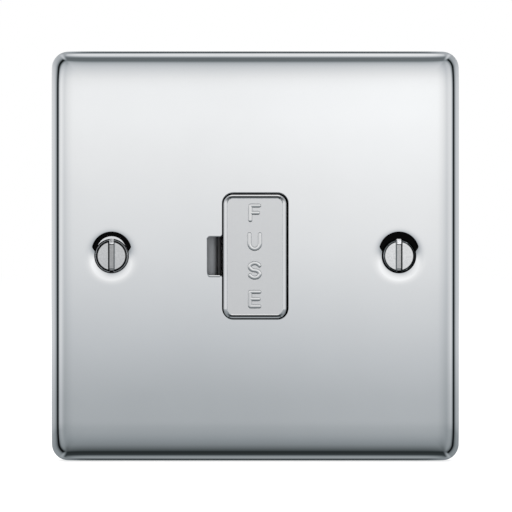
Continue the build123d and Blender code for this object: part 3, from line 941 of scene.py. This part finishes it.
def painted_ledge_shade(finish):
    """Grey moulding out beyond the tool notch's ledge, painted nearly black as shade from the ledge across
    the chamber behind the carrier.
    """
    finish.shade(finish.step(finish.place()[0], LEDGE_X, 1.0, CHAMBER_SHADE))


def satin_face_with_painted_shade(finish):
    """Carrier with a satin face and bright bevels, the upper bevel painted dark as shade, and a back of
    bare dark moulding whose darkness is also painted shade in the gap round the carrier.
    """
    y = finish.place()[1]
    ny, nz = finish.place("Normal")[1:]
    face = finish.product(finish.step(ny, SATIN_NORMAL, 1.0, 0.0), finish.step(y, SATIN_Y, 1.0, 0.0))
    finish.roughen(face, SATIN_ROUGH)
    # painted shade on the upper bevel
    upper = finish.product(finish.step(nz, UPWARD_NORMAL), finish.band(ny, BEVEL_NORMAL, BEVEL_SOFT))
    finish.shade_where(upper, UPPER_BEVEL_SHADE)
    # the back is bare dark moulding, and its darkness is also painted shade that keeps the gap round the
    # carrier dark
    finish.shade(finish.step(y, CARRIER_BARE_Y, 1.0, DARK_BACK_AND_SHADE))
    finish.feed(finish.sockets["Metallic"], finish.step(y, CARRIER_BARE_Y, 1.0, 0.0))
    finish.roughen(finish.step(y, CARRIER_BARE_Y), MOULDED_ROUGH)


# Dark and light tone, roughness, scale of the grain and strength of its relief
chrome = metal("plate_chrome", (0.855, 0.868, 0.880), (0.870, 0.884, 0.896), (0.030, 0.050), 90, 0)
letter_chrome = metal("letter_chrome", (0.78, 0.785, 0.79), (0.80, 0.805, 0.81), (0.05, 0.08), 900, 0.03)
carrier_tones = (0.885, 0.888, 0.895), (0.895, 0.898, 0.905)
carrier_chrome = metal("carrier_chrome", *carrier_tones, (0.04, 0.07), 900, 0.03)
screw_chrome = metal("screw_chrome", (0.80, 0.81, 0.82), (0.84, 0.85, 0.86), (0.05, 0.09), 700, 0.06)
brass = metal("terminal_brass", (0.72, 0.52, 0.22), (0.82, 0.62, 0.30), (0.20, 0.34), 260, 0.15)
strip_brass = metal("strip_brass", (0.70, 0.48, 0.18), (0.78, 0.56, 0.24), (0.24, 0.36), 320, 0.15)
zinc = metal("zinc_plate", (0.60, 0.61, 0.62), (0.70, 0.71, 0.72), (0.24, 0.38), 420, 0.15)
nickel = metal("fuse_nickel", (0.70, 0.68, 0.62), (0.78, 0.76, 0.71), (0.16, 0.26), 380, 0.10)
white_tones = (0.76, 0.755, 0.735), (0.80, 0.795, 0.775)
white_plastic = plastic("housing_plastic", *white_tones, (0.32, 0.42), 1500, 0.12)
grey_tones = (0.248, 0.259, 0.271), (0.278, 0.290, 0.303)
grey_plastic = plastic("frame_plastic", *grey_tones, (0.36, 0.46), 1400, 0.12)
ceramic = plastic("fuse_ceramic", (0.78, 0.765, 0.72), (0.84, 0.825, 0.78), (0.22, 0.32), 700, 0.08)

painted_well_shade(chrome)
dull_back(chrome)
satin_face_with_painted_shade(carrier_chrome)
turned_heads_with_painted_light(screw_chrome)
painted_ledge_shade(grey_plastic)


def paint(obj, mat):
    obj.data.materials.clear()
    obj.data.materials.append(mat)


# The terminal blocks are brass. Nodes that a skin stands for are not seen
finishes = {
    "plate_bosses": zinc,
    "fuse_barrel": ceramic,
    "fuse_cap_upper": nickel,
    "fuse_cap_lower": nickel,
    "carrier_frame": grey_plastic,
    "terminal_housing": white_plastic,
    "terminal_screws": zinc,
    "housing_screws": zinc,
    "line_in_contact": strip_brass,
    "line_out_contact": strip_brass,
    "neutral_link": strip_brass,
    "earth_strap": strip_brass,
}
for name, node in nodes.items():
    for slot in node.material_slots:
        slot.material = finishes.get(name, brass).material

plate = make_plate()
paint(plate, chrome.material)
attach(plate, "unit")
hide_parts("front_plate")

screws = make_screws()
paint(screws, screw_chrome.material)
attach(screws, "unit")
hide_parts("fixing_screws")

carrier = make_carrier()
paint(carrier, carrier_chrome.material)
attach(carrier, "carrier")
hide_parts("fuse_carrier")

lettering = make_lettering()
paint(lettering, letter_chrome.material)
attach(lettering, "carrier")


# Floor, world, lamps and camera, in metres

FLOOR_SIZE = 6
FLOOR_GAP = 0.0002
FLOOR_COLOUR = (0.9, 0.9, 0.9)
FLOOR_SHADED = (0.4, 0.4, 0.4)
FLOOR_GLOW = 0.75
WHITE = (1.0, 1.0, 1.0)
PLAIN_LIGHT = (0.62, 0.62, 0.63)
LAMP_SIZE = 0.5
KEY_AT = (-0.35, -0.55, 0.75)
KEY_POWER = 5.0
REAR_AT = (0.4, 0.6, 0.6)
REAR_POWER = 4.0
CAMERA_AT = (0.00015, -0.353, 0)
SENSOR_WIDTH = 36
LENS = 116.35
CLIP_START = 0.01

# The studio that polished metal mirrors: a bright wall in front, a dark card above and below it,
# a dark slit at each side, and dimmer space behind. Each pair is an angle in degrees and a level.
# Angles run from straight down to straight up, and for walls and slits from the front to the rear
LOW_CARD = [(-90, 0.36), (-77, 0.32), (-61, 0.04), (-42, 0.025), (-36, 0.13), (-28, 0.25)]
LOW_CARD += [(-15, 0.36), (-8, 0.41)]
WALL = [(-5, 0.47), (-3, 0.6), (0, 0.78), (5, 0.98), (12, 0.91)]
HIGH_CARD = [(30, 0.63), (36, 0.47), (40, 0.16), (55, 0.15), (62, 0.32), (70, 0.7), (78, 0.88), (90, 0.82)]
NEAR_SIDE = [(-90, 0.4), (-30, 0.36), (-8, 0.41)]
FAR_SIDE = [(-90, 0.4), (-20, 0.4), (-10, 0.44), (-5, 0.65), (-3, 0.87), (5, 0.94)]
OPEN_SIDE = [(25, 0.73), (40, 0.61), (60, 0.62), (90, 0.82)]
REAR = [(-90, 0.3), (-82, 0.14), (-65, 0.03), (-45, 0.05), (-5, 0.6), (5, 0.75), (20, 0.6), (35, 0.25)]
REAR += [(50, 0.06), (70, 0.05), (82, 0.35), (90, 0.7)]
REAR_END = [(-90, 0.2), (0, 0.35), (90, 0.45)]
LEFT_WALL = [(0, 1.0), (20, 0.98), (28, 0.9), (34, 0.79), (40, 0.95)]
LEFT_SLIT = [(42, 1.0), (49, 0.77), (54, 0.15), (56, 0.01), (63, 0.01), (70, 0.36), (78, 0.64)]
LEFT_SLIT += [(90, 0.79), (180, 1.0)]
RIGHT_WALL = [(0, 1.0), (20, 0.98), (28, 0.87), (35, 0.72), (40, 0.8)]
RIGHT_SLIT = [(46, 1.0), (50, 0.95), (57, 0.42), (62, 0.01), (69, 0.01), (78, 0.57), (90, 0.8), (180, 0.9)]

# Limits between which one part of the studio gives way to the next, by parts of a direction or its slant
TO_REAR = (-0.05, 0.05)
TO_REAR_END = (0.05, 0.25)
TO_FAR_SIDE = (0.48, 0.78)
TO_FLANK = (0.42, 0.56)
TO_RIGHT = (-0.02, 0.02)
TO_ABOVE = (math.radians(50), math.radians(57))
RIGHT_GAIN_X = (-0.028, 0.087)
RIGHT_GAIN = 1.087

# Dim parts of the studio are a little cooler than the bright ones. Each row is a level, and factors for
# its red, green and blue
TOP_LEVEL = 1.1
TONES = [(0, 1, 1, 1), (0.05, 0.82, 1, 1.05), (0.3, 0.91, 1, 1.05), (0.6, 0.97, 1, 1.03)]
TONES += [(0.9, 1, 1, 1), (1.1, 1, 1, 1)]


def floor_white():
    """Plain pale floor: white to the camera, apart from the shadow that falls on it."""
    mat = bpy.data.materials.new("floor_white")
    mat.use_nodes = True
    mat.node_tree.nodes.clear()
    graph = Graph(mat.node_tree)
    matt = graph.add("ShaderNodeBsdfDiffuse")
    graph.feed(matt.inputs["Color"], FLOOR_COLOUR)
    shaded = graph.add("ShaderNodeBsdfDiffuse")
    graph.feed(shaded.inputs["Color"], FLOOR_SHADED)
    glow = graph.add("ShaderNodeEmission")
    graph.feed(glow.inputs["Strength"], FLOOR_GLOW)
    both = graph.add("ShaderNodeAddShader")
    graph.feed(both.inputs[0], shaded.outputs[0])
    graph.feed(both.inputs[1], glow.outputs[0])
    pick = graph.add("ShaderNodeMixShader")
    graph.feed(pick.inputs[0], graph.add("ShaderNodeLightPath").outputs["Is Camera Ray"])
    graph.feed(pick.inputs[1], matt.outputs[0])
    graph.feed(pick.inputs[2], both.outputs[0])
    graph.feed(graph.add("ShaderNodeOutputMaterial").inputs["Surface"], pick.outputs[0])
    return mat


def studio_colour(graph):
    """What polished metal sees of the studio, by direction."""

    def within_one(value):
        return graph.math("MAXIMUM", graph.math("MINIMUM", value, 1.0), -1.0)

    def by_height(stops):
        return graph.ramp(height, [((angle + 90) / 180, level) for angle, level in stops])

    def by_turn(turn, stops):
        return graph.ramp(turn, [(angle / 180, level) for angle, level in stops])

    dx, dy, dz = graph.place("Generated")
    across = graph.math("ABSOLUTE", dx)
    upright = graph.math("ABSOLUTE", dz)
    height = graph.math("MULTIPLY_ADD", graph.math("ARCSINE", within_one(dz)), 1 / math.pi, 0.5)
    off_front = graph.math("ARCCOSINE", graph.product(within_one(dy), -1.0))
    off_front = graph.product(off_front, 1 / math.pi)
    aside = graph.product(graph.math("ARCTAN2", across, graph.product(dy, -1.0)), 1 / math.pi)
    slant = graph.math("ARCTAN2", upright, across)
    to_right = graph.step(dx, TO_RIGHT)

    front_sky = by_height(LOW_CARD + WALL + HIGH_CARD)
    rear_sky = graph.mix(graph.step(across, TO_REAR_END), by_height(REAR), by_height(REAR_END))
    upper = graph.mix(graph.step(dy, TO_REAR), front_sky, rear_sky)
    near_side = by_height(NEAR_SIDE + WALL + OPEN_SIDE)
    flank = graph.mix(graph.step(across, TO_FAR_SIDE), near_side, by_height(FAR_SIDE + OPEN_SIDE))
    sky = graph.mix(graph.step(across, TO_FLANK), upper, flank)

    walls = graph.mix(to_right, by_turn(aside, LEFT_WALL), by_turn(aside, RIGHT_WALL))
    slits = graph.mix(to_right, by_turn(off_front, LEFT_SLIT), by_turn(off_front, RIGHT_SLIT))
    sides = graph.mix(graph.step(slant, TO_ABOVE), graph.product(walls, slits), WHITE)
    gain = graph.step(dx, RIGHT_GAIN_X, 1.0, RIGHT_GAIN, "LINEAR")
    level = graph.product(sky, sides, gain, 1 / TOP_LEVEL)
    cool = [(v / TOP_LEVEL, (v * red, v * green, v * blue)) for v, red, green, blue in TONES]
    return graph.ramp(level, cool)


def make_world():
    """White to the camera, the studio to polished surfaces and plain light to the rest."""
    world = bpy.data.worlds.new("studio")
    bpy.context.scene.world = world
    world.use_nodes = True
    world.node_tree.nodes.clear()
    graph = Graph(world.node_tree)
    rays = graph.add("ShaderNodeLightPath")
    lit = graph.mix(rays.outputs["Is Glossy Ray"], PLAIN_LIGHT, studio_colour(graph))
    background = graph.add("ShaderNodeBackground")
    graph.feed(background.inputs["Color"], graph.mix(rays.outputs["Is Camera Ray"], lit, WHITE))
    graph.feed(graph.add("ShaderNodeOutputWorld").inputs[0], background.outputs[0])


def lamp(name, spot, power):
    """Square lamp that faces the part, and that metal does not mirror."""
    data = bpy.data.lights.new(name, "AREA")
    data.shape = "SQUARE"
    data.size = LAMP_SIZE
    data.energy = power
    obj = bpy.data.objects.new(name, data)
    bpy.context.scene.collection.objects.link(obj)
    obj.location = spot
    obj.rotation_euler = (-Vector(spot)).to_track_quat("-Z", "Y").to_euler()
    obj.visible_glossy = False


bpy.ops.mesh.primitive_plane_add(size=FLOOR_SIZE, location=(0, 0, cad_low[2] - FLOOR_GAP))
floor = bpy.context.object
floor.name = "floor"
paint(floor, floor_white())
floor.visible_glossy = False

make_world()
lamp("key", KEY_AT, KEY_POWER)
lamp("rear", REAR_AT, REAR_POWER)

camera_data = bpy.data.cameras.new("camera")
camera_data.sensor_width = SENSOR_WIDTH
camera_data.lens = LENS
camera_data.clip_start = CLIP_START
camera = bpy.data.objects.new("camera", camera_data)
bpy.context.scene.collection.objects.link(camera)
camera.location = CAMERA_AT
camera.rotation_euler = (math.pi / 2, 0, 0)
bpy.context.scene.camera = camera

bpy.context.scene.view_settings.view_transform = "Standard"
